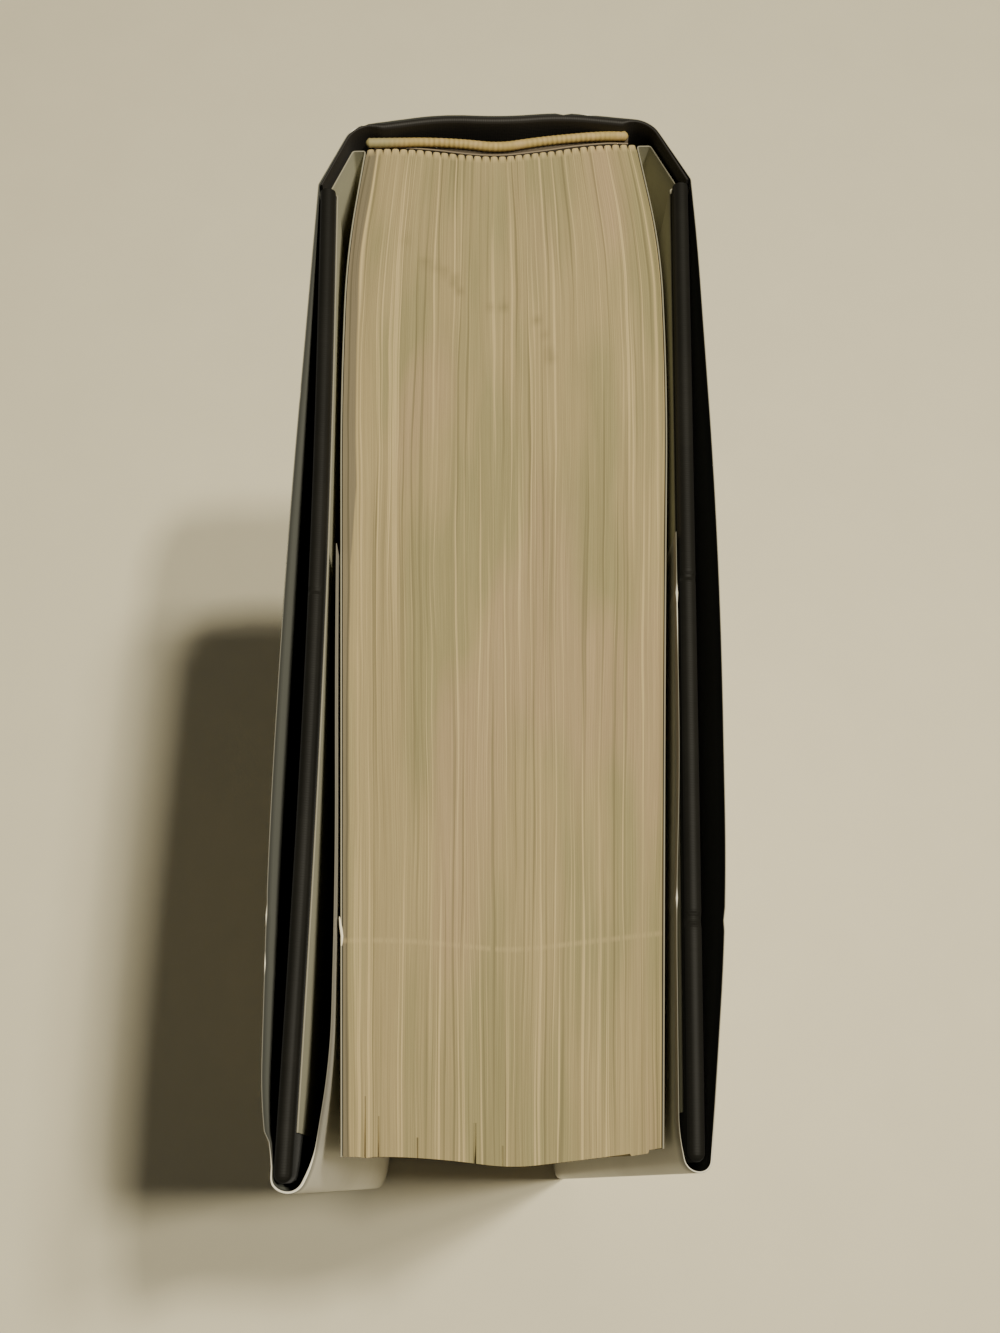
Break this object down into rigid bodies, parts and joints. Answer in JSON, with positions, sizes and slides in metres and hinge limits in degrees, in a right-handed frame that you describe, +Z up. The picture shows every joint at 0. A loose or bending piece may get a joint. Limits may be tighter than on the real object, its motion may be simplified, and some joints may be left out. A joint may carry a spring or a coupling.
{
  "type": "hardcover book",
  "caption": "Thick sewn hardcover book standing on its tail, cloth-covered boards and rounded spine in a plain paper dust jacket, with covers that swing open.",
  "frame": {"origin": "centre of the footprint, on the surface that the book stands on", "axes": "+Z up from tail to head, +Y towards the spine, +X towards the back cover"},
  "size_m": [0.0631, 0.1648, 0.241],
  "materials": {
    "pages": "matte",
    "endpaper": "matte",
    "mull": "matte",
    "lining_paper": "matte",
    "band_cloth": "satin",
    "board": "matte",
    "case_cloth": "matte",
    "jacket_paper": "satin"
  },
  "bodies": {
    "root": {"text_block": "pages", "spine_mull": "mull", "spine_lining": "lining_paper", "headband": "band_cloth", "tailband": "band_cloth", "front_flyleaf": "endpaper", "back_flyleaf": "endpaper", "spine_inlay": "board", "spine_cloth": "case_cloth", "jacket_spine": "jacket_paper"},
    "front_cover": {"front_board": "board", "front_cover_cloth": "case_cloth", "front_pastedown": "endpaper", "jacket_front": "jacket_paper"},
    "back_cover": {"back_board": "board", "back_cover_cloth": "case_cloth", "back_pastedown": "endpaper", "jacket_back": "jacket_paper"}
  },
  "joints": [
    {"name": "front_joint", "type": "hinge", "parent": "root", "child": "front_cover", "pos_m": [-0.02749, 0.07381, 0.1205], "axis": [0, 0, -1], "range_deg": [0, 180]},
    {"name": "back_joint", "type": "hinge", "parent": "root", "child": "back_cover", "pos_m": [0.0283, 0.07626, 0.1205], "axis": [0, 0, 1], "range_deg": [0, 180]}
  ]
}
